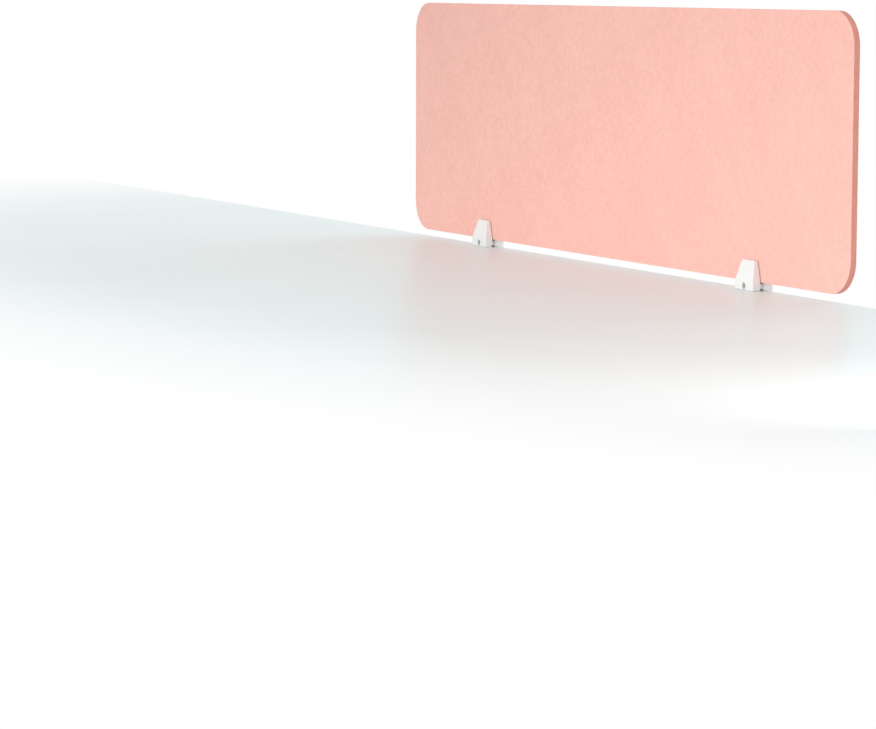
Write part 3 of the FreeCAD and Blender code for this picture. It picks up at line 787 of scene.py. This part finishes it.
class ScrewOperator(bpy.types.Operator):
    """Make the clamp screws with their rolled threads in place of the plain bars"""
    bl_idname = "privacy_panel.clamp_screws"
    bl_label = "Clamp screws"

    def execute(self, context):
        settings = context.scene.clamp_settings
        for side in SIDES:
            low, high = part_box(f"{side}_clamp_screw")
            finish = steel_finish(f"{side}_screw_steel", settings, tuple(0.5 * (low + high)),
                                  axis=2, tone=1.05, gloss=0.22)
            cover(make_clamp_screw(side, settings), f"{side}_screw", "screw_steel", finish,
                  f"{side}_clamp_screw")
        return {"FINISHED"}


class HardwareOperator(bpy.types.Operator):
    """Finish the bolts, washers, clips and pressure feet"""
    bl_idname = "privacy_panel.hardware"
    bl_label = "Bolts, washers, clips and feet"

    def execute(self, context):
        settings = context.scene.clamp_settings
        for side in SIDES:
            for kind, axis, tone, gloss in STEEL_PARTS:
                node = f"{side}_{kind}"
                low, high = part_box(node)
                finish = steel_finish(f"{node}_steel", settings, tuple(0.5 * (low + high)),
                                      axis, tone, gloss)
                dress(finish, node)
        return {"FINISHED"}


class CoatOperator(bpy.types.Operator):
    """Powder coat the clamp frames and front jaws"""
    bl_idname = "privacy_panel.coat"
    bl_label = "Powder coat"

    def execute(self, context):
        finish = coat_finish(context.scene.clamp_settings)
        for side in SIDES:
            dress(finish, f"{side}_clamp_frame", f"{side}_front_jaw")
        return {"FINISHED"}


class KnobOperator(bpy.types.Operator):
    """Finish the knobs and their caps"""
    bl_idname = "privacy_panel.knobs"
    bl_label = "Knobs"

    def execute(self, context):
        finish = plastic_finish(context.scene.clamp_settings)
        for side in SIDES:
            dress(finish, f"{side}_knob", f"{side}_knob_cap")
        return {"FINISHED"}


# ---------------------------------------------------------------- stage

def make_floor(settings):
    """A wide slab whose rear edge is the desktop's edge, eased along its rim."""
    reach = settings.floor_reach
    corners = [(-reach, -reach), (reach, -reach), (reach, 0.0), (-reach, 0.0)]
    outline, normals = rounded_outline(corners, [2 * MM] * 4, spacing=reach, arc_steps=4)
    core = np.broadcast_to([0.0, -0.5 * reach], outline.shape)
    rows = rim_rows(settings.floor_thickness, 0.5 * MM, ease_steps=4, side_steps=1,
                    face_steps=1)
    grid = slab_points(outline, normals, core, rows)
    floor = new_piece("desktop", lying(grid, -settings.floor_thickness))
    floor.data.materials.append(floor_finish(settings).material)


def add_lamp(name, place, target, size, power):
    """A square soft lamp that faces its target."""
    lamp = bpy.data.lights.new(name, "AREA")
    lamp.shape = "RECTANGLE"
    lamp.size, lamp.size_y = size
    lamp.energy = power
    holder = bpy.data.objects.new(name, lamp)
    holder.location = place
    holder.visible_camera = False
    holder.rotation_euler = (Vector(target) - Vector(place)).to_track_quat("-Z", "Y").to_euler()
    bpy.context.scene.collection.objects.link(holder)


def light_world(settings):
    """White to the eye and in reflections, and an even soft light on everything else."""
    world = bpy.data.worlds.new("studio")
    world.use_nodes = True
    tree = world.node_tree
    background = tree.nodes["Background"]
    background.inputs["Color"].default_value = (1.0, 1.0, 1.0, 1.0)
    path = tree.nodes.new("ShaderNodeLightPath")
    seen = tree.nodes.new("ShaderNodeMath")
    seen.operation = "MAXIMUM"
    tree.links.new(path.outputs["Is Camera Ray"], seen.inputs[0])
    tree.links.new(path.outputs["Is Glossy Ray"], seen.inputs[1])
    strength = tree.nodes.new("ShaderNodeMapRange")
    strength.inputs["To Min"].default_value = settings.ambient
    strength.inputs["To Max"].default_value = 1.0
    tree.links.new(seen.outputs[0], strength.inputs["Value"])
    tree.links.new(strength.outputs["Result"], background.inputs["Strength"])
    bpy.context.scene.world = world


def add_camera(settings):
    """Camera off the right end, looking along the board at a low angle, with a slight roll."""
    yaw, pitch, roll = settings.eye_yaw, settings.eye_pitch, settings.eye_roll
    ahead = Vector((-math.cos(yaw) * math.cos(pitch), math.sin(yaw) * math.cos(pitch),
                    -math.sin(pitch)))
    right = ahead.cross(Vector((0.0, 0.0, 1.0))).normalized()
    up = right.cross(ahead)
    rolled_right = math.cos(roll) * right + math.sin(roll) * up
    rolled_up = math.cos(roll) * up - math.sin(roll) * right
    lens = bpy.data.cameras.new("camera")
    lens.lens = settings.focal_length / MM
    lens.sensor_width = 36.0
    lens.clip_end = 100.0
    camera = bpy.data.objects.new("camera", lens)
    turn = Matrix((rolled_right, rolled_up, -ahead)).transposed().to_4x4()
    camera.matrix_world = Matrix.Translation(settings.eye) @ turn
    bpy.context.scene.collection.objects.link(camera)
    bpy.context.scene.camera = camera


class StageOperator(bpy.types.Operator):
    """Set up the floor, lamps, white surround and camera"""
    bl_idname = "privacy_panel.stage"
    bl_label = "Stage"

    def execute(self, context):
        settings = context.scene.stage_settings
        make_floor(settings)
        light_world(settings)
        low, high = parts_box
        middle = 0.5 * (low + high)
        add_lamp("key_lamp", place=(0.5, -2.4, 0.25), target=(0.4, 0.0, 0.0), size=(0.9, 0.4),
                 power=settings.key_power)
        add_lamp("side_lamp", place=(1.8, -0.45, 0.25), target=(0.45, 0.0, 0.0),
                 size=(0.4, 0.4), power=settings.side_power)
        add_lamp("rear_lamp", place=(-1.0, 3.4, 1.2), target=middle, size=(3.0, 2.5),
                 power=settings.rear_power)
        add_camera(settings)
        context.scene.view_settings.view_transform = "Standard"
        return {"FINISHED"}


# ---------------------------------------------------------------- add-on

OPERATORS = (FeltOperator, CoatOperator, PadOperator, ScrewOperator, HardwareOperator,
             KnobOperator, StageOperator)


class PrivacyPanelSidebar(bpy.types.Panel):
    """Lists the steps that make the privacy panel"""
    bl_idname = "VIEW3D_PT_privacy_panel"
    bl_label = "Privacy Panel"
    bl_space_type = "VIEW_3D"
    bl_region_type = "UI"
    bl_category = "Privacy Panel"

    def draw(self, context):
        for operator in OPERATORS:
            self.layout.operator(operator.bl_idname)


SETTINGS = {"felt_settings": FeltSettings, "clamp_settings": ClampSettings,
            "stage_settings": StageSettings}


def register():
    for kind in (*SETTINGS.values(), *OPERATORS, PrivacyPanelSidebar):
        bpy.utils.register_class(kind)
    for name, kind in SETTINGS.items():
        setattr(bpy.types.Scene, name, PointerProperty(type=kind))


def unregister():
    for name in SETTINGS:
        delattr(bpy.types.Scene, name)
    for kind in reversed((*SETTINGS.values(), *OPERATORS, PrivacyPanelSidebar)):
        bpy.utils.unregister_class(kind)


def main():
    register()
    steps = bpy.ops.privacy_panel
    steps.felt_board()
    steps.coat()
    steps.pads()
    steps.clamp_screws()
    steps.hardware()
    steps.knobs()
    steps.stage()


if __name__ == "__main__":
    main()
